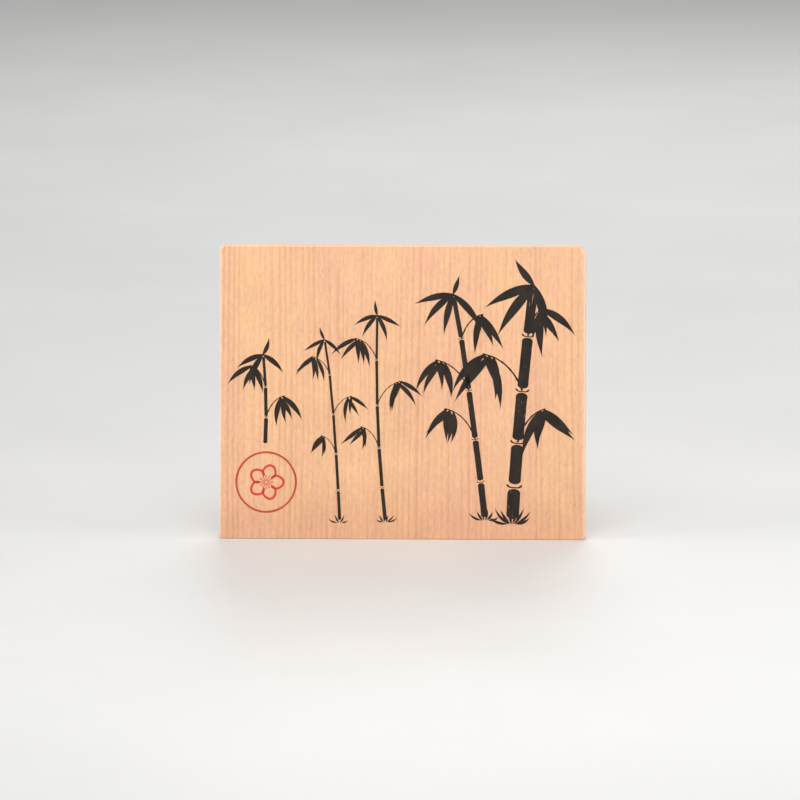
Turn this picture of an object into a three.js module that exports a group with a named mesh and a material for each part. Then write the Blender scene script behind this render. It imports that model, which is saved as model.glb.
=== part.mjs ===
// A small wooden plaque that stands on a shelf and leans back on a foot glued behind it.
// Millimetres. +X is to the right of the face, +Y to the back and +Z up.
// The origin is on the shelf, under the middle of the whole plaque.

import * as THREE from 'three';
import { mergeVertices } from 'three/addons/utils/BufferGeometryUtils.js';

// Driving dimensions of the board
const boardWidth = 120;
const boardHeight = 96.5; // up the sloping face, from its bottom edge to its top edge
const boardThickness = 8;
const leanDegrees = 8; // back from upright
const topLeftRadius = 2.1;
const topRightRadius = 3.3;
const bottomLeftRadius = 0.8;
const bottomRightRadius = 1.2;
const edgeEasing = 0.6; // round on the edges of the face and of the back
const bottomEasing = 0.3; // the same round where the board meets the shelf
const sharpestCorner = 0.1; // what is left of a corner where the easing takes all of its radius

// Driving dimensions of the foot
const footWidth = 9;
const footHeight = 52;
const footReach = 30; // along the shelf, from the board's back to the heel
const footTopDepth = 5;
const footHeelHeight = 4;
const footCornerRadius = 1.5;
const footEasing = 0.6;

// Space left for the glue between the board and its foot
const glueGap = 0.3;

// How finely the rounds are faceted
const cornerSteps = 6;
const easingSteps = 3;

const lean = THREE.MathUtils.degToRad(leanDegrees);

const boardWood = new THREE.MeshStandardMaterial({ color: '#f1b98c', roughness: 0.62, metalness: 0 });
const footWood = new THREE.MeshStandardMaterial({ color: '#e3a877', roughness: 0.7, metalness: 0 });

// The outline through convex corners listed anticlockwise, each rounded by its own radius.
function roundedOutline(corners) {
  const outline = [];
  corners.forEach((corner, index) => {
    const previous = corners[(index + corners.length - 1) % corners.length];
    const next = corners[(index + 1) % corners.length];
    const back = previous.point.clone().sub(corner.point).normalize();
    const ahead = next.point.clone().sub(corner.point).normalize();
    const opening = Math.acos(back.dot(ahead));
    const centre = back.clone().add(ahead).setLength(corner.radius / Math.sin(opening / 2)).add(corner.point);
    const startAngle = Math.atan2(back.x, -back.y);
    const sweep = Math.PI - opening;
    for (let step = 0; step <= cornerSteps; step++) {
      const angle = startAngle + (sweep * step) / cornerSteps;
      outline.push(new THREE.Vector2(Math.cos(angle), Math.sin(angle)).multiplyScalar(corner.radius).add(centre));
    }
  });
  return outline;
}

// The board's outline at one depth behind the face. Its bottom line climbs with the depth, so that
// the board is cut on the slant and sits flat on the shelf.
function boardOutline(depth, drawnIn) {
  const side = boardWidth / 2 - edgeEasing * drawnIn;
  const top = boardHeight - edgeEasing * drawnIn;
  const bottom = depth * Math.tan(lean) + bottomEasing * drawnIn;
  const corner = (x, y, radius) => ({
    point: new THREE.Vector2(x, y),
    radius: Math.max(radius - edgeEasing * drawnIn, sharpestCorner),
  });
  return roundedOutline([
    corner(-side, bottom, bottomLeftRadius),
    corner(side, bottom, bottomRightRadius),
    corner(side, top, topRightRadius),
    corner(-side, top, topLeftRadius),
  ]);
}

// Depths behind the face, with the share of the easing by which the outline is drawn in there.
function boardLayers() {
  const front = [];
  for (let step = 0; step <= easingSteps; step++) {
    const angle = (Math.PI / 2) * (step / easingSteps);
    front.push({ depth: edgeEasing * (1 - Math.cos(angle)), drawnIn: 1 - Math.sin(angle) });
  }
  const back = front.map(({ depth, drawnIn }) => ({ depth: boardThickness - depth, drawnIn })).reverse();
  return [...front, ...back];
}

// A closed body through outlines of equally many points, each at its own depth along +Y,
// with the face first and a flat cap at both ends.
function loft(layers) {
  const positions = [];
  for (const { depth, outline } of layers) {
    for (const point of outline) {
      positions.push(point.x, depth, point.y);
    }
  }
  const count = layers[0].outline.length;
  const triangles = [];
  for (let layer = 0; layer + 1 < layers.length; layer++) {
    for (let i = 0; i < count; i++) {
      const here = layer * count + i;
      const beside = layer * count + ((i + 1) % count);
      triangles.push(here, here + count, beside, beside, here + count, beside + count);
    }
  }
  const last = (layers.length - 1) * count;
  for (let i = 1; i + 1 < count; i++) {
    triangles.push(0, i, i + 1);
    triangles.push(last, last + i + 1, last + i);
  }
  const geometry = new THREE.BufferGeometry();
  geometry.setAttribute('position', new THREE.Float32BufferAttribute(positions, 3));
  geometry.setIndex(triangles);
  return geometry;
}

function makeBoard() {
  const layers = boardLayers().map(({ depth, drawnIn }) => ({ depth, outline: boardOutline(depth, drawnIn) }));
  const geometry = mergeVertices(loft(layers));
  geometry.computeVertexNormals();
  const board = new THREE.Mesh(geometry, boardWood);
  board.name = 'board';
  board.rotation.x = -lean;
  return board;
}

// The foot is a plate stood on edge. Its front edge lies along the sloping back of the board,
// and its back edge runs down to a short upright heel.
function makeFoot() {
  const topFront = footHeight * Math.tan(lean);
  const corner = (x, y) => ({ point: new THREE.Vector2(x, y), radius: footCornerRadius });
  const profile = roundedOutline([
    corner(0, 0),
    corner(footReach, 0),
    corner(footReach, footHeelHeight),
    corner(topFront + footTopDepth, footHeight),
    corner(topFront, footHeight),
  ]);
  const geometry = new THREE.ExtrudeGeometry(new THREE.Shape(profile), {
    depth: footWidth - 2 * footEasing,
    bevelEnabled: true,
    bevelThickness: footEasing,
    bevelSize: footEasing,
    bevelOffset: -footEasing,
    bevelSegments: easingSteps,
  });
  const foot = new THREE.Mesh(geometry, footWood);
  foot.name = 'back_foot';
  foot.rotation.set(Math.PI / 2, Math.PI / 2, 0);
  foot.position.x = footEasing - footWidth / 2;
  foot.position.y = (boardThickness + glueGap) / Math.cos(lean);
  return foot;
}

const plaque = new THREE.Group();
plaque.add(makeBoard(), makeFoot());

// The origin lies halfway between the face's bottom edge and the heel.
const extent = new THREE.Box3().setFromObject(plaque);
plaque.position.y = -(extent.min.y + extent.max.y) / 2;

export default plaque;
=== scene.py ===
"""A small wooden plaque that stands on a table, with a brush drawing of bamboo and a red seal on its face.

The plaque's lengths are written in millimetres and turned into metres by MM, and the strokes on its
face are in plain millimetres until they are laid. The floor, the lights and the camera are placed in
metres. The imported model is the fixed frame: +X is to the right of the face, +Y to the back and +Z up.
"""

import cmath
import math
import random

import bmesh
import bpy
import numpy as np
from mathutils import Matrix, Vector, noise


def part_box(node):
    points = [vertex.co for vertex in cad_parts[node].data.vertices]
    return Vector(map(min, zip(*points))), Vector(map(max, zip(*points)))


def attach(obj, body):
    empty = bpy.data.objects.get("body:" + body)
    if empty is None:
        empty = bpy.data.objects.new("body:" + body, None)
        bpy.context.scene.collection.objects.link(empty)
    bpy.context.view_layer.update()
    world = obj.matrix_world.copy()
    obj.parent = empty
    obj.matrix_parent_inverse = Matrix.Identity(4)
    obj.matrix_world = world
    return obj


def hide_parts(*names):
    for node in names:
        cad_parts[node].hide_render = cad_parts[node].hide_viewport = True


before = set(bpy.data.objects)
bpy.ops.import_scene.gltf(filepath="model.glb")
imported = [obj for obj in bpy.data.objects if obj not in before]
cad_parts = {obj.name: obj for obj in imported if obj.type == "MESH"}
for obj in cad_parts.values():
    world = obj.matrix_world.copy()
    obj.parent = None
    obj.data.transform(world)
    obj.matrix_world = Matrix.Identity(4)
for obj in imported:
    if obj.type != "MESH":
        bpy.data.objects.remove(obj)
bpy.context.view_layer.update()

MM = 0.001


# The board is one quarter-sawn plank of pale softwood, planed and finely sanded. Its corners are
# rounded by hand, each one a little differently, and its edges are eased with fine paper. It is cut
# on the slant below, so that it stands flat while its face leans back.
lean = math.radians(8)
board_width = 120 * MM
board_height = 96.5 * MM
board_thickness = 8 * MM
top_left_radius = 2.1 * MM
top_right_radius = 3.3 * MM
bottom_left_radius = 0.8 * MM
bottom_right_radius = 1.2 * MM
edge_easing = 0.6 * MM
bottom_easing = 0.3 * MM
easing_unevenness = 0.16
easing_wander = 14 * MM
outline_spacing = 2.5 * MM
board_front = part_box("board")[0].y - bottom_easing * math.sin(lean)
on_face = Matrix.Translation((0, board_front, 0)) @ Matrix.Rotation(-lean, 4, "X")


def rounded_outline(corners, spacing, arc_steps=14):
    """Points with their outward directions, anticlockwise round convex corners (x, y, radius)."""
    arcs = []
    for index, (x, y, radius) in enumerate(corners):
        corner = Vector((x, y))
        back = (Vector(corners[index - 1][:2]) - corner).normalized()
        ahead = (Vector(corners[(index + 1) % len(corners)][:2]) - corner).normalized()
        opening = back.angle(ahead)
        centre = corner + (back + ahead).normalized() * (radius / math.sin(opening / 2))
        start = math.atan2(back.x, -back.y)
        for step in range(arc_steps + 1):
            angle = start + (math.pi - opening) * step / arc_steps
            outward = Vector((math.cos(angle), math.sin(angle)))
            arcs.append((centre + outward * radius, outward))
    outline = []
    for index, (point, outward) in enumerate(arcs):
        next_point, next_outward = arcs[(index + 1) % len(arcs)]
        parts = max(1, round((next_point - point).length / spacing))
        for part in range(parts):
            share = part / parts
            outline.append((point.lerp(next_point, share), outward.lerp(next_outward, share).normalized()))
    return outline


def eased_plate(name, outline, thickness, easing_at, place, level_cut=0.0, round_steps=7):
    """A plate whose edges are quarter rounds. Its outline lies in x and z, and it is thick along y.

    easing_at gives the size of the round for a point of the outline and its outward direction.
    level_cut lifts the lower end in proportion to the depth, so that the cut is level when the plate leans.
    """
    height = max(point.y for point, _ in outline)
    quarter = [math.pi / 2 * step / round_steps for step in range(round_steps + 1)]
    layers = [(angle, False) for angle in quarter] + [(angle, True) for angle in reversed(quarter)]
    vertices, normals, edge_highlight = [], [], []
    for angle, at_back in layers:
        for point, outward in outline:
            easing = easing_at(point, outward)
            flat = point - outward * easing * (1 - math.sin(angle))
            depth = easing * (1 - math.cos(angle))
            if at_back:
                depth = thickness - depth
            lift = depth * level_cut * (1 - flat.y / height)
            facing = math.cos(angle) if at_back else -math.cos(angle)
            vertices.append(place @ Vector((flat.x, depth, flat.y + lift)))
            normal = Vector((outward.x * math.sin(angle), facing, outward.y * math.sin(angle)))
            normals.append(place.to_3x3() @ normal)
            # How far round its eased edge a point lies, highest halfway round: the wood paints a highlight
            # there.
            edge_highlight.append(math.sin(2 * angle))
    count = len(outline)
    faces = [list(range(count)), list(range(len(vertices) - 1, len(vertices) - 1 - count, -1))]
    for layer in range(len(layers) - 1):
        for index in range(count):
            here = layer * count + index
            beside = layer * count + (index + 1) % count
            faces.append([here, here + count, beside + count, beside])
    mesh = bpy.data.meshes.new(name)
    mesh.from_pydata(vertices, [], faces)
    mesh.shade_smooth()
    mesh.attributes.new("edge_highlight_mask", "FLOAT", "POINT").data.foreach_set("value", edge_highlight)
    mesh.normals_split_custom_set_from_vertices(normals)
    plate = bpy.data.objects.new(name, mesh)
    bpy.context.scene.collection.objects.link(plate)
    return plate


def by_hand(point, layer=0.0):
    """About 1: how a hand-eased round varies in size along an outline. Each layer varies in its own way."""
    return 1 + easing_unevenness * noise.noise(Vector((point.x, point.y, layer)) / easing_wander)


def board_easing(point, outward):
    """How far the board's edge is eased at a point of its outline."""
    base = edge_easing + (bottom_easing - edge_easing) * max(0.0, -outward.y)
    return base * by_hand(point)


board = eased_plate(
    "plaque_board",
    rounded_outline(
        [
            (-board_width / 2, 0, bottom_left_radius),
            (board_width / 2, 0, bottom_right_radius),
            (board_width / 2, board_height, top_right_radius),
            (-board_width / 2, board_height, top_left_radius),
        ],
        spacing=outline_spacing,
    ),
    board_thickness,
    board_easing,
    on_face,
    level_cut=math.tan(lean),
)


class Wire:
    """One output in a node tree. Operators on it add Math nodes, and node() adds any other node."""

    def __init__(self, tree, socket=None):
        self.tree = tree
        self.socket = socket

    def node(self, kind, inputs=None, output=0, **settings):
        """Adds a node: its settings first, then the values or wires of its inputs."""
        made = self.tree.nodes.new(kind)
        for setting, value in settings.items():
            setattr(made, setting, value)
        for key, value in (inputs or {}).items():
            if isinstance(value, Wire):
                self.tree.links.new(value.socket, made.inputs[key])
            else:
                made.inputs[key].default_value = value
        return Wire(self.tree, made.outputs[output])

    def math(self, operation, *values):
        return self.node("ShaderNodeMath", dict(enumerate(values)), operation=operation)

    def __add__(self, other):
        return self.math("ADD", self, other)

    __radd__ = __add__

    def __sub__(self, other):
        return self.math("SUBTRACT", self, other)

    def __rsub__(self, other):
        return self.math("SUBTRACT", other, self)

    def __mul__(self, other):
        return self.math("MULTIPLY", self, other)

    __rmul__ = __mul__

    def __truediv__(self, other):
        return self.math("DIVIDE", self, other)

    def __pow__(self, other):
        return self.math("POWER", self, other)

    def __gt__(self, other):
        return self.math("GREATER_THAN", self, other)

    def between(self, low, high):
        """0 below low, 1 above high and a smooth rise between them."""
        values = {"Value": self, "From Min": low, "From Max": high}
        return self.node("ShaderNodeMapRange", values, interpolation_type="SMOOTHSTEP")

    def metres(self):
        """Where the surface is in the part's frame, in metres."""
        return self.node("ShaderNodeTexCoord", output=3)

    def carried(self, name):
        """A value that the mesh carries at its points."""
        return self.node("ShaderNodeAttribute", attribute_name=name, output=2)

    def parts(self):
        """The x, y and z of a vector."""
        split = self.node("ShaderNodeSeparateXYZ", {0: self}).socket.node
        return [Wire(self.tree, socket) for socket in split.outputs]

    def vector(self, x, y, z):
        return self.node("ShaderNodeCombineXYZ", {0: x, 1: y, 2: z})

    def stretched(self, x, y, z):
        """This vector with each of its parts multiplied."""
        return self.node("ShaderNodeVectorMath", {0: self, 1: (x, y, z)}, operation="MULTIPLY")

    def scaled(self, amount):
        """This vector or colour with all of its parts multiplied by one amount."""
        return self.node("ShaderNodeVectorMath", {0: self, "Scale": amount}, operation="SCALE")

    def noise(self, detail=2.0, roughness=0.5):
        """Smooth noise about zero, with features one unit across."""
        values = {"Vector": self, "Scale": 1.0, "Detail": detail, "Roughness": roughness}
        return self.node("ShaderNodeTexNoise", values) - 0.5

    def tint(self, first, second):
        """A colour from first to second as this value goes from 0 to 1."""
        return self.node("ShaderNodeMix", {0: self, 6: first, 7: second}, output=2, data_type="RGBA")


def colour(red, green, blue):
    """A colour picked on screen, 0 to 255, as the linear values that a shader takes."""
    parts = [value / 255 for value in (red, green, blue)]
    return (*[part / 12.92 if part <= 0.04045 else ((part + 0.055) / 1.055) ** 2.4 for part in parts], 1.0)


def new_material(name):
    """An empty material with one Principled shader, and the wire that its nodes start from."""
    material = bpy.data.materials.new(name)
    material.use_nodes = True
    shader = material.node_tree.nodes["Principled BSDF"]
    return material, shader, Wire(material.node_tree)


def feed(shader, **wires):
    """Joins wires or values to the shader's sockets, named in words joined by underscores."""
    for name, value in wires.items():
        socket = shader.inputs[name.replace("_", " ")]
        if isinstance(value, Wire):
            value.tree.links.new(value.socket, socket)
        else:
            socket.default_value = value


# Painted shade: near the table the wood is painted darker and redder, up to this height and by these factors.
painted_shade_top = 24 * MM
painted_shade_tint = (0.912, 0.860, 0.875)
# Painted highlight: the side rims are painted paler, fading in over this width.
side_highlight_fade = 1.5 * MM
grain_relief = 0.06 * MM


def sawn_wood(
    name, turn, pith, ring_width, pale, warm, late, highlight_colour, end_grain, ring_strength, side_highlight_from
):
    """Sawn softwood. turn brings its grain to z. Its rings go round the pith, which is in millimetres.

    end_grain is the direction in which the cut ends of the fibres face. Beyond the distance that the last
    argument gives, to the left and the right, the wood is painted paler: a painted highlight on the side
    rims. The eased edges are painted paler in the same way. Near the table the wood is painted darker and
    redder: painted shade.
    Each noise is stretched by so much for a millimetre: twice across the grain, then along it.
    """
    material, shader, start = new_material(name)
    metres = start.metres()
    grain = start.node("ShaderNodeMapping", {"Vector": metres, "Rotation": turn, "Scale": (1 / MM,) * 3})
    across, through, _ = grain.parts()
    slow_drift = grain.stretched(1 / 60, 1 / 60, 1 / 260).noise(1)
    quick_drift = grain.stretched(1 / 11, 1 / 11, 1 / 60).noise(2)
    round_pith = ((across - pith[0]) ** 2 + (through - pith[1]) ** 2) ** 0.5
    from_pith = round_pith + 9 * slow_drift + 1.1 * quick_drift
    uneven_years = start.vector(from_pith / 7, 0.0, 0.0).noise(2, 0.6)
    year = from_pith / ring_width + 2.6 * uneven_years
    season = year.math("FRACT", year)
    hard_year = year.node("ShaderNodeTexWhiteNoise", {"W": year.math("FLOOR", year)}, noise_dimensions="1D")
    fading = grain.stretched(1 / 9, 1 / 9, 1 / 40).noise(2).between(-0.30, 0.14)
    ripening = season.between(0.26, 0.84) * (1 - season.between(0.84, 1.0))
    latewood = ripening * (0.35 + 0.65 * hard_year) * fading
    broad_bands = grain.stretched(1 / 15, 1 / 15, 1 / 110).noise(2)
    fine_bands = grain.stretched(0.62, 0.62, 0.11).noise(3, 0.62)
    blotches = grain.stretched(0.9, 0.9, 0.6).noise(3, 0.65)
    blush = (0.6 * broad_bands + 0.8 * fine_bands + 0.9 * blotches).between(-0.26, 0.26)
    fibre = grain.stretched(2.6, 2.6, 0.16).noise(3, 0.6)
    mottle = grain.stretched(1.1, 1.1, 0.42).noise(4, 0.72)
    cloud = grain.stretched(0.10, 0.10, 0.07).noise(3, 0.55)
    specks = grain.stretched(1.7, 1.7, 0.45).noise(2, 0.6).between(0.16, 0.26)
    sideways, _, height = metres.parts()
    # Painted shade: how strongly the wood is painted darker and redder near the table.
    low = 1 - height.between(0.0, painted_shade_top)
    # Painted highlight on the side rims: the wood is painted paler towards the left and right edges.
    side_highlight = height.math("ABSOLUTE", sideways).between(side_highlight_from, side_highlight_from + side_highlight_fade)
    shade = 1 + 0.17 * fibre + 0.44 * mottle + 0.24 * cloud - 0.17 * specks
    facing = start.node("ShaderNodeNewGeometry", output=1)
    along_fibres = facing.node(
        "ShaderNodeVectorMath", {0: facing, 1: end_grain}, output=1, operation="DOT_PRODUCT"
    )
    on_end = along_fibres.math("ABSOLUTE", along_fibres).between(0.6, 0.95)
    # Painted highlight on the eased edges, strongest halfway round each round.
    edge_highlight = start.carried("edge_highlight_mask")
    rings = latewood * (ring_strength + 0.35 * on_end)
    # How far the wood goes towards the painted highlight colour, on the eased edges and on the side rims.
    edges = 0.55 * edge_highlight**0.7 + 0.5 * side_highlight
    wood = edges.tint(rings.tint(blush.tint(pale, warm), late), highlight_colour)
    # Painted shade near the table: the wood there is painted darker and redder.
    wood = low.tint(wood, wood.stretched(*painted_shade_tint))
    feed(
        shader,
        Base_Color=wood.scaled(shade * (1 - 0.05 * on_end)),
        Roughness=0.56 + 0.10 * mottle - 0.08 * latewood + 0.1 * on_end,
        Specular_IOR_Level=0.35,
    )
    relief = 0.5 * latewood + 0.9 * fibre + 0.5 * mottle
    bump = start.node("ShaderNodeBump", {"Strength": 0.45, "Distance": grain_relief, "Height": relief})
    feed(shader, Normal=bump)
    return material


board.data.materials.append(
    sawn_wood(
        "quarter_sawn_face",
        turn=(lean, 0, 0),
        pith=(-210, 3),
        ring_width=2.0,
        pale=colour(247, 198, 148),
        warm=colour(243, 187, 153),
        late=colour(224, 158, 120),
        # The colour of the painted highlight on the eased edges and the side rims
        highlight_colour=colour(252, 212, 174),
        end_grain=(0, math.sin(lean), math.cos(lean)),
        ring_strength=0.62,
        # Where the painted highlight on the side rims begins
        side_highlight_from=board_width / 2 - 1.7 * MM,
    )
)
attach(board, "root")
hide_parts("board")


# The foot is one plain plate of the same wood, stood on edge and glued upright behind the middle of
# the board. Its front edge follows the board's slope, and its back edge runs down to a short heel.
foot_width = 9 * MM
foot_height = 52 * MM
foot_reach = 30 * MM
foot_top_depth = 5 * MM
foot_heel_height = 4 * MM
foot_corner_radius = 1.5 * MM
foot_easing = 0.6 * MM
foot_layer = 7 * MM
foot_top_front = foot_height * math.tan(lean)
glue_gap = 0.3 * MM
foot_front = board_front + (board_thickness + glue_gap) / math.cos(lean)


def foot_easing_at(point, outward):
    """How far the foot's edge is eased at a point of its outline."""
    return foot_easing * by_hand(point, foot_layer)


foot = eased_plate(
    "glued_foot",
    rounded_outline(
        [
            (0, 0, foot_corner_radius),
            (foot_reach, 0, foot_corner_radius),
            (foot_reach, foot_heel_height, foot_corner_radius),
            (foot_top_front + foot_top_depth, foot_height, foot_corner_radius),
            (foot_top_front, foot_height, foot_corner_radius),
        ],
        spacing=outline_spacing,
    ),
    foot_width,
    foot_easing_at,
    Matrix.Translation((foot_width / 2, foot_front, 0)) @ Matrix.Rotation(math.pi / 2, 4, "Z"),
)
foot.data.materials.append(
    sawn_wood(
        "flat_sawn_foot",
        turn=(math.radians(-13), math.radians(3), math.radians(20)),
        pith=(34, -46),
        ring_width=2.4,
        pale=colour(238, 186, 138),
        warm=colour(232, 172, 130),
        late=colour(208, 140, 94),
        # The colour of the painted highlight on the foot's eased edges
        highlight_colour=colour(244, 200, 164),
        end_grain=(0, 0, 1),
        ring_strength=1.0,
        side_highlight_from=foot_width,
    )
)
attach(foot, "root")
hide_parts("back_foot")


# The foot is held by wood glue, brushed on and pressed, so a thin amber line of it fills the joint and
# stands out a little along both sides.
glue_play = 0.01 * MM
glue_round = 0.08 * MM
glue_squeezed = 0.45 * MM
glue_wander = 3 * MM
glue_from = 3.6 * MM
glue_to = 51.6 * MM
glue_side = foot_width / 2 - foot_easing
glue_outline = rounded_outline(
    [
        (-glue_side, glue_from, foot_corner_radius),
        (glue_side, glue_from, foot_corner_radius),
        (glue_side, glue_to, foot_corner_radius),
        (-glue_side, glue_to, foot_corner_radius),
    ],
    spacing=1.2 * MM,
)


def squeezed_out(point, outward):
    """A point of the glue's outline, pushed out by what was squeezed from the joint there."""
    unevenly = 1 + noise.noise(Vector((point.x, point.y, 0)) / glue_wander)
    return point + outward * glue_squeezed * unevenly


glue = eased_plate(
    "glue_line",
    [(squeezed_out(point, outward), outward) for point, outward in glue_outline],
    glue_gap - 2 * glue_play,
    lambda point, outward: glue_round,
    on_face @ Matrix.Translation((0, board_thickness + glue_play, 0)),
    round_steps=3,
)
dried_glue, glue_shader, start = new_material("dried_wood_glue")
glue_cloud = start.metres().stretched(700, 700, 260).noise(3, 0.6)
thick_glue = colour(176, 118, 66)
thin_glue = colour(204, 150, 98)
feed(
    glue_shader,
    Base_Color=glue_cloud.between(-0.2, 0.2).tint(thick_glue, thin_glue),
    Roughness=0.38 + 0.25 * glue_cloud,
    Specular_IOR_Level=0.5,
)
glue.data.materials.append(dried_glue)
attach(glue, "root")


# The drawing is bamboo, brushed freehand in black carbon ink straight on the bare wood. Each stroke
# is laid down once and dries as a thin film: stems in short pulls with a gap at each joint, leaves
# pressed and drawn off to a point.
film_thickness = 0.03 * MM
film_step = 0.0015 * MM
film_steps = 12
film_sunk = 0.02 * MM
rough_edge = 0.05 * MM
rough_edge_size = 1.1 * MM
in_face = on_face @ Matrix.Rotation(math.pi / 2, 4, "X")

# In the plain millimetres of the strokes
finest_half_width = 0.012
stroke_offset = 37


def film_tree():
    """Strokes, drawn as edges with a half width, become closed films of ink in copies about a centre."""
    tree = bpy.data.node_groups.new("brushed_film", "GeometryNodeTree")
    tree.interface.new_socket("Film", in_out="OUTPUT", socket_type="NodeSocketGeometry")
    for name, kind in {
        "Strokes": "Geometry",
        "Copies": "Int",
        "Centre": "Vector",
        "Sunk": "Float",
        "Rough edge": "Float",
        "Rough edge size": "Float",
        "Ink": "Material",
    }.items():
        tree.interface.new_socket(name, in_out="INPUT", socket_type=f"NodeSocket{kind}")
    given = tree.nodes.new("NodeGroupInput")
    wanted = {socket.name: Wire(tree, socket) for socket in given.outputs if socket.name}
    start = Wire(tree)

    turn = start.node("GeometryNodeInputIndex") * math.tau / wanted["Copies"]
    turned = start.node("FunctionNodeEulerToRotation", {0: start.vector(0.0, 0.0, turn)})
    centres = start.node("GeometryNodePoints", {"Count": wanted["Copies"], "Position": wanted["Centre"]})
    copies = start.node(
        "GeometryNodeInstanceOnPoints", {"Points": centres, "Instance": wanted["Strokes"], "Rotation": turned}
    )
    copies = start.node("GeometryNodeRealizeInstances", {0: copies})
    lines = start.node("GeometryNodeMeshToCurve", {0: copies})
    lines = start.node("GeometryNodeSetCurveNormal", {0: lines}, mode="Z_UP")

    side = start.node("GeometryNodeInputPosition").parts()[0]
    profile = start.node("GeometryNodeCurvePrimitiveQuadrilateral", {"Width": 2.0, "Height": 2.0})
    profile = start.node("GeometryNodeStoreNamedAttribute", {0: profile, "Name": "across", "Value": side})
    half_width = start.node("GeometryNodeInputNamedAttribute", {"Name": "half_width"})
    film = start.node(
        "GeometryNodeCurveToMesh",
        {"Curve": lines, "Profile Curve": profile, "Scale": half_width, "Fill Caps": True},
    )

    place = start.node("GeometryNodeInputPosition")
    x, y, z = place.parts()
    level = start.node("GeometryNodeInputNamedAttribute", {"Name": "level"})
    height = (z > 0.0) * (level + wanted["Sunk"]) - wanted["Sunk"]
    where = start.vector(x / wanted["Rough edge size"], y / wanted["Rough edge size"], 0.0)
    wander_x = where.noise(2) * wanted["Rough edge"] * 2
    wander_y = where.stretched(-1.0, 1.0, 1.0).noise(2) * wanted["Rough edge"] * 2
    moved = start.vector(x + wander_x, y + wander_y, height)
    film = start.node("GeometryNodeSetPosition", {0: film, "Position": moved})
    film = start.node("GeometryNodeRealizeInstances", {0: film})
    film = start.node("GeometryNodeSetMaterial", {0: film, "Material": wanted["Ink"]})
    result = tree.nodes.new("NodeGroupOutput")
    tree.links.new(film.socket, result.inputs[0])
    return tree


ink_film = film_tree()


def brushed(name, strokes, material, copies=1, centre=(0, 0)):
    """Lays strokes on the board's face as one mesh of closed films.

    Each stroke lies a little higher than the one before, up to film_steps of them, so that strokes that
    cross seldom share a level.
    """
    points, edges = [], []
    values = {"half_width": [], "along": [], "level": [], "dryness": [], "tone": []}
    for number, stroke in enumerate(strokes):
        first = len(points)
        count = len(stroke["path"])
        points += [(point.real * MM, point.imag * MM, 0) for point in stroke["path"]]
        edges += [(first + index, first + index + 1) for index in range(count - 1)]
        if stroke["closed"]:
            edges.append((first + count - 1, first))
        run = np.concatenate([[0], np.cumsum(np.abs(np.diff(stroke["path"])))])
        values["half_width"] += list(np.maximum(stroke["half_width"], finest_half_width) * MM)
        values["along"] += list(run + stroke_offset * number)
        values["level"] += [film_thickness + film_step * (number % film_steps)] * count
        values["dryness"] += list(stroke["dryness"] * np.ones(count))
        values["tone"] += [stroke["tone"]] * count
    mesh = bpy.data.meshes.new(f"{name}_strokes")
    mesh.from_pydata(points, edges, [])
    for attribute, numbers in values.items():
        mesh.attributes.new(attribute, "FLOAT", "POINT").data.foreach_set("value", numbers)
    source = bpy.data.objects.new(f"{name}_strokes", mesh)
    bpy.context.scene.collection.objects.link(source)
    modifier = source.modifiers.new("film", "NODES")
    modifier.node_group = ink_film
    settings = {
        "Copies": copies,
        "Centre": (centre[0] * MM, centre[1] * MM, 0.0),
        "Sunk": film_sunk,
        "Rough edge": rough_edge,
        "Rough edge size": rough_edge_size,
        "Ink": material,
    }
    for item in ink_film.interface.items_tree:
        if item.name in settings:
            modifier[item.identifier] = settings[item.name]
    evaluated = source.evaluated_get(bpy.context.evaluated_depsgraph_get())
    film = bpy.data.meshes.new_from_object(evaluated)
    source.modifiers.clear()
    bpy.data.objects.remove(source)
    film.name = name
    film.transform(in_face)
    shape = bmesh.new()
    shape.from_mesh(film)
    bmesh.ops.recalc_face_normals(shape, faces=shape.faces)
    shape.to_mesh(film)
    shape.free()
    film.shade_flat()
    piece = bpy.data.objects.new(name, film)
    bpy.context.scene.collection.objects.link(piece)
    return piece


hand = random.Random(11)
drawing = []


def pull(path, half_width, dryness=0.0, tone=1.0, closed=False, onto=drawing):
    """One pull of the brush: where it goes and half its width there, in millimetres."""
    onto.append({"path": path, "half_width": half_width, "dryness": dryness, "tone": tone, "closed": closed})


def leaf(root, heading, length, width, bend, tone=1.0):
    """The brush is set down at the root, pressed, and drawn off to a long fine tip."""
    run = np.linspace(0, 1, max(16, round(length * 2.2)))
    bowed = run + 1j * bend * (run * (1 - run) - 0.4 * run**3)
    path = root + cmath.rect(length, math.radians(heading)) * bowed
    press = run * (1 - run) ** 1.5
    stalk = 0.16 * (1 - run) ** 6
    pull(path, width / 2 * (press / press.max() + stalk), dryness=0.55 * run**2, tone=tone)


def blunt_pull(start, end, width, flare, dryness, tone):
    """A short pull that is pressed at both ends, as one length of stem between two joints."""
    run = 0.5 - 0.5 * np.cos(np.pi * np.linspace(0, 1, max(16, round(abs(end - start) * 2.5))))
    bow = 1j * hand.uniform(-0.012, 0.012) * run * (1 - run)
    from_end = np.minimum(run, 1 - run) * abs(end - start)
    rounding = np.sqrt(1 - (1 - np.clip(from_end / (0.36 * width), 0, 1)) ** 2)
    half_width = width / 2 * (1 + flare * (2 * run - 1) ** 8) * rounding
    pull(start + (end - start) * (run + bow), half_width, dryness, tone)


def joint_mark(place, direction, width, tone):
    """The dark line that closes a joint, hooked up at both ends."""
    run = np.linspace(-1, 1, 26)
    across = direction * -1j
    path = place + across * width * 0.64 * run + direction * width * (0.26 * run**4 - 0.10)
    pull(path, width * (0.05 + 0.075 * run**4) * np.sqrt(1 - np.abs(run) ** 10), 0.0, tone)


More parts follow.
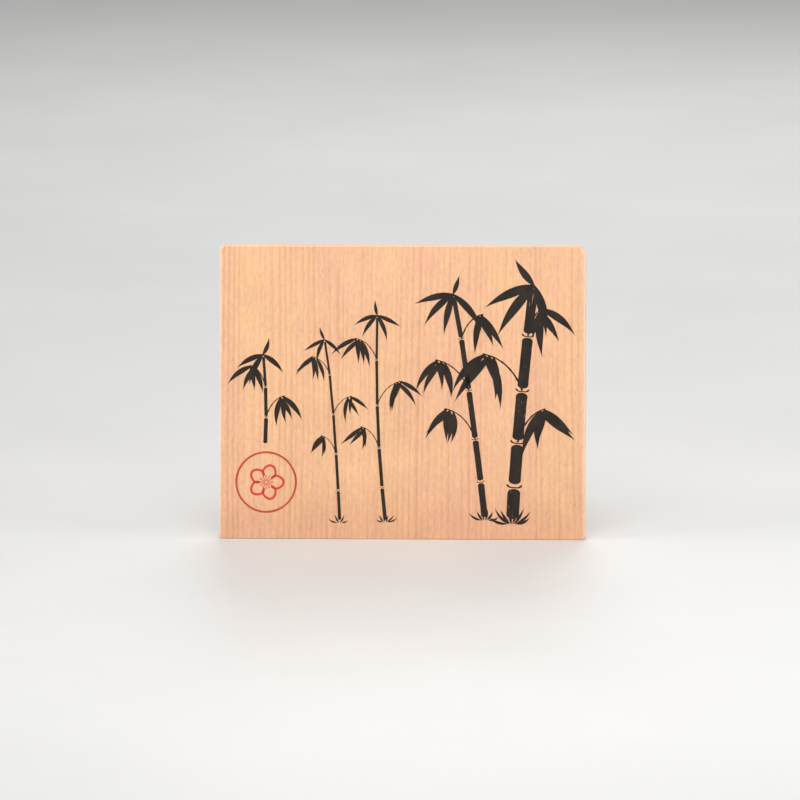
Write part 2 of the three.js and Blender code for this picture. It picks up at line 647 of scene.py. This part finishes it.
def culm(joints, root_width, head_width, dryness, tone=1.0):
    """A stem through its joints, from its root to its head, with one pull for each length of it."""
    for index, (low, high) in enumerate(zip(joints, joints[1:])):
        width = root_width + (head_width - root_width) * index / max(1, len(joints) - 2)
        direction = (high - low) / abs(high - low)
        gap = direction * (0.16 * width + 0.14)
        blunt_pull(low + gap, high - gap, width, 0.14, dryness, tone)
        if index > 0:
            joint_mark(low, direction, width, tone)


def spray(joint, reach, rise, count, length, width, tone=1.0):
    """A springy twig from a joint, and the leaves that hang from both sides of it towards its end.

    A positive reach takes the twig to the right and a negative one to the left.
    """
    run = np.linspace(0, 1, 40)
    knee = joint + complex(0.30 * reach, 0.85 * rise)
    end = joint + complex(reach, rise)
    path = (1 - run) ** 2 * joint + 2 * run * (1 - run) * knee + run**2 * end
    knots = 1 + 0.35 * np.cos(5 * np.pi * run) ** 8
    pull(path, 0.11 * width * (1 - 0.35 * run) * knots, 0.1, tone)
    outward = math.copysign(1, reach)
    for index in range(count):
        share = index / (count - 1)
        root = path[round((len(path) - 1) * (0.80 + 0.20 * share))]
        side = outward if index % 2 == count % 2 else -outward
        opening = hand.uniform(12, 40) + 10 * share * (side == outward)
        size = (0.72 + 0.5 * math.sin(math.pi * (0.25 + 0.55 * share))) * hand.uniform(0.82, 1.06)
        bend = side * hand.uniform(0.02, 0.22)
        leaf(root, -90 + 14 * outward + side * opening, length * size, width * size**0.5, bend, tone)


def crown(top, headings, length, width, tone=1.0):
    """The leaves at the head of a stem: some hang, and the youngest still point up."""
    for heading in headings:
        size = (0.86 - 0.32 * math.sin(math.radians(heading))) * hand.uniform(0.86, 1.1)
        sideways = -1 if abs(heading) > 90 else 1
        upwards = -1 if heading < 0 else 1
        bend = hand.uniform(0.04, 0.20) * sideways * upwards
        leaf(top, heading, length * size, width * size**0.5, -bend, tone)


def blades(root, count, length, width, tone=1.0):
    """Grass at the foot of a stem, each blade flicked upwards."""
    for index in range(count):
        share = index / max(1, count - 1) - 0.5
        heading = 90 - 140 * share + hand.uniform(-8, 8)
        leaf(root + 0.5 * length * share, heading, length * hand.uniform(0.6, 1.1), width, -0.6 * share, tone)


# The tall pair at the right
culm([36.2 + 6j, 36.8 + 17.5j, 37.9 + 32j, 39.4 + 49j, 41.2 + 67j, 43.0 + 83j], 4.2, 3.2, 0.5)
culm([27.2 + 7j, 25.8 + 19j, 24.0 + 33j, 21.9 + 49j, 19.4 + 66j, 16.8 + 80j], 2.1, 1.5, 0.35, 0.95)
spray(37.9 + 32j, 9, 11, 5, 13, 2.4)
spray(39.4 + 49j, -13, 12, 5, 16, 2.6)
spray(41.2 + 67j, 5, 9, 4, 13, 2.4)
crown(43.2 + 83.5j, (-158, -128, -74, 128), 17, 2.9)
spray(24.0 + 33j, -10, 10, 5, 11, 1.9, 0.95)
spray(21.9 + 49j, -11, 10, 5, 12, 1.9, 0.95)
spray(19.4 + 66j, 7, 8, 4, 12, 2.0, 0.95)
crown(16.6 + 80.5j, (-168, -136, -104, -48, 70), 13, 2.1, 0.95)
blades(36.1 + 5.2j, 8, 6.5, 0.9)
blades(27.2 + 6.4j, 6, 5, 0.7)

# The slender ones behind, in the middle
culm([-5.5 + 6j, -6.6 + 17j, -7.6 + 30j, -8.2 + 44j, -8.4 + 59j, -8.2 + 73j], 1.2, 0.8, 0.2, 0.92)
culm([-20.5 + 6j, -21.0 + 16j, -21.7 + 28j, -22.6 + 41j, -23.8 + 54j, -25.4 + 65j], 1.0, 0.7, 0.2, 0.92)
spray(-7.6 + 30j, -6, 7, 4, 7.5, 1.25, 0.92)
spray(-8.2 + 44j, 8, 8, 5, 8.5, 1.35, 0.92)
spray(-8.4 + 59j, -7, 7, 5, 8.5, 1.35, 0.92)
crown(-8.2 + 73.5j, (-160, -128, -66, -24, 100), 9, 1.4, 0.92)
spray(-21.7 + 28j, -5, 6, 4, 6.5, 1.1, 0.92)
spray(-22.6 + 41j, 6, 6, 4, 7, 1.15, 0.92)
spray(-23.8 + 54j, -6, 6, 5, 7.5, 1.15, 0.92)
crown(-25.6 + 65.5j, (-152, -112, -40, 112), 8, 1.2, 0.92)
blades(-5.5 + 5.7j, 6, 3.6, 0.5, 0.92)
blades(-20.5 + 5.4j, 4, 3.2, 0.5, 0.92)

# The young shoot at the left, over the seal
culm([-45.0 + 31j, -44.7 + 40j, -44.9 + 50j, -45.6 + 60j], 1.3, 0.9, 0.2, 0.97)
spray(-44.7 + 40j, 6, 7, 4, 8.5, 1.6, 0.97)
spray(-44.9 + 50j, -5, 7, 4, 8.5, 1.6, 0.97)
crown(-45.8 + 60.5j, (-156, -118, -38, 66), 9.5, 1.7, 0.97)

ink, ink_shader, start = new_material("carbon_ink")
along = start.carried("along")
across = start.carried("across")
dryness = start.carried("dryness")
metres = start.metres()

# The brush's hairs part where it runs dry, and miss the wood in streaks along the stroke
streaks_across = 2600
streaks_along = 0.11
from_middle = across * start.carried("half_width")
hairs = start.vector(along * streaks_along, from_middle * streaks_across, along * 0.01).noise(3, 0.65)
wood_fibre = metres.stretched(3200, 3200, 420).noise(2, 0.6)
wet_until = 0.28 - 0.28 * dryness
missed = (hairs + 0.22 * wood_fibre).between(wet_until, wet_until + 0.07)
pooled = metres.stretched(260, 260, 180).noise(3, 0.6)
black_ink = colour(35, 28, 22)
brown_ink = colour(51, 41, 34)
feed(
    ink_shader,
    Base_Color=pooled.between(-0.2, 0.2).tint(black_ink, brown_ink),
    Alpha=start.carried("tone") * (1 - 0.9 * missed) * (0.985 + 0.05 * wood_fibre),
    Roughness=0.62 + 0.25 * pooled,
    Specular_IOR_Level=0.28,
)

bamboo = brushed("brush_drawing", drawing, ink)
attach(bamboo, "root")


# The seal is printed by hand in red paste beside the drawing: a thin ring with an open plum blossom
# inside it. The paste takes unevenly, so the wood shows through in places.
seal_centre = (-44.7, 18.6)
ring_radius = 9.8
ring_line = 0.62
ring_unevenness = 0.28
ring_tone = 0.15
petal_count = 5
petal_distance = 3.5
petal_radius = 2.1
petal_opening = 0.80 * math.pi
petal_half_line = 0.40
petal_thinning = 0.18
petal_tone = 0.9
stamen_count = 12
stamen_start = 0.45
stamen_length = 1.75
stamen_half_line = 0.11
stamen_head = 0.17
stamen_head_at = 0.93
stamen_head_size = 0.07
stamen_tone = 0.8

paste, paste_shader, start = new_material("red_seal_paste")
dull_red = colour(196, 80, 56)
bright_red = colour(232, 74, 62)
print_grain = start.metres().stretched(1500, 1500, 600).noise(3, 0.65)
thin = start.metres().stretched(240, 240, 240).noise(2, 0.5)
feed(
    paste_shader,
    Base_Color=start.carried("tone").tint(dull_red, bright_red),
    Alpha=0.94 - 0.55 * (print_grain + 0.6 * thin).between(0.12, 0.26),
    Roughness=0.6 + 0.2 * print_grain,
    Specular_IOR_Level=0.3,
)

round_turn = np.linspace(0, math.tau, 240, endpoint=False)
uneven_line = np.array([noise.noise(Vector((math.cos(a), math.sin(a), 3.0)) * 2.2) for a in round_turn])
ring = []
pull(
    ring_radius * np.exp(1j * round_turn),
    ring_line / 2 * (1 + ring_unevenness * uneven_line),
    tone=ring_tone,
    closed=True,
    onto=ring,
)
petal_sweep = np.linspace(-petal_opening, petal_opening, 60)
petal = []
pull(
    petal_distance + petal_radius * np.exp(1j * petal_sweep) * (1 + 0.05 * np.cos(3 * petal_sweep)),
    petal_half_line - petal_thinning * np.abs(petal_sweep / math.pi) ** 2,
    tone=petal_tone,
    onto=petal,
)
stamen_run = np.linspace(0, 1, 30)
head_shape = np.exp(-(((stamen_run - stamen_head_at) / stamen_head_size) ** 2))
stamen = []
pull(
    stamen_start + stamen_length * stamen_run + 0j,
    stamen_half_line + stamen_head * head_shape,
    tone=stamen_tone,
    onto=stamen,
)
for piece in (
    brushed("seal_ring", ring, paste, centre=seal_centre),
    brushed("seal_petals", petal, paste, petal_count, seal_centre),
    brushed("seal_stamens", stamen, paste, stamen_count, seal_centre),
):
    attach(piece, "root")


# The table is covered by a wide sheet of smooth pale paper. Soft boxes light it from the left, the
# right, above and behind, and a pale room fills in the rest.
floor_reach = 6.0
floor_gap = 0.05 * MM
floor_shape = bmesh.new()
bmesh.ops.create_grid(floor_shape, x_segments=4, y_segments=4, size=floor_reach)
floor_mesh = bpy.data.meshes.new("studio_floor")
floor_shape.to_mesh(floor_mesh)
floor_shape.free()
floor_mesh.transform(Matrix.Translation((0, 0, -floor_gap)))
floor = bpy.data.objects.new("studio_floor", floor_mesh)
bpy.context.scene.collection.objects.link(floor)
paper, paper_shader, start = new_material("floor_paper")
cloudy = start.metres().stretched(9, 9, 9).noise(3, 0.6)
greyer_paper = colour(214, 213, 211)
whiter_paper = colour(219, 218, 216)
feed(
    paper_shader,
    Base_Color=cloudy.between(-0.3, 0.3).tint(greyer_paper, whiter_paper),
    Roughness=0.5 + 0.1 * cloudy,
    Specular_IOR_Level=0.3,
)
floor.data.materials.append(paper)


def soft_light(name, place, size, watts):
    """A square soft box that faces the plaque and doesn't show in the picture."""
    lamp = bpy.data.lights.new(name, "AREA")
    lamp.size = size
    lamp.energy = watts
    box = bpy.data.objects.new(name, lamp)
    box.location = place
    to_plaque = Vector((0, 0, board_height / 2)) - Vector(place)
    box.rotation_euler = to_plaque.to_track_quat("-Z", "Y").to_euler()
    box.visible_camera = False
    bpy.context.scene.collection.objects.link(box)


soft_light("left_soft_box", place=(-0.95, -0.20, 0.40), size=0.5, watts=4.1)
soft_light("right_soft_box", place=(0.95, -0.20, 0.38), size=0.5, watts=3.7)
soft_light("top_soft_box", place=(0.0, -0.30, 0.46), size=0.40, watts=1.38)
soft_light("back_soft_box", place=(0.1, 0.9, 0.7), size=0.6, watts=4.2)
world = bpy.data.worlds.new("pale_room")
world.use_nodes = True
feed(world.node_tree.nodes["Background"], Color=(0.93, 0.94, 0.95, 1), Strength=0.46)
bpy.context.scene.world = world
bpy.context.scene.view_settings.view_transform = "Standard"


# The camera stands far off with a long lens, a little to the right and above, and is rolled slightly
# so that the board's lower edge lies nearly level in the picture.
frame_pixels = 800
pixels_per_mm = 3.05
plaque_centre_pixel = (402.2, 392.4)
camera_distance = 2.7
camera_azimuth = math.radians(3)
camera_elevation = math.radians(11)
camera_roll = math.radians(-0.35)
camera_data = bpy.data.cameras.new("long_lens")
camera_data.sensor_width = 36
camera_data.lens = camera_data.sensor_width * pixels_per_mm * camera_distance / MM / frame_pixels
camera = bpy.data.objects.new("long_lens", camera_data)
towards_camera = Vector(
    (
        math.sin(camera_azimuth) * math.cos(camera_elevation),
        -math.cos(camera_azimuth) * math.cos(camera_elevation),
        math.sin(camera_elevation),
    )
)
turned = (-towards_camera).to_track_quat("-Z", "Y").to_matrix() @ Matrix.Rotation(camera_roll, 3, "Z")
camera.rotation_euler = turned.to_euler()
off_centre = Vector((frame_pixels / 2 - plaque_centre_pixel[0], plaque_centre_pixel[1] - frame_pixels / 2, 0))
aim = on_face @ Vector((0, 0, board_height / 2)) + turned @ off_centre * MM / pixels_per_mm
camera.location = aim + towards_camera * camera_distance
bpy.context.scene.collection.objects.link(camera)
bpy.context.scene.camera = camera
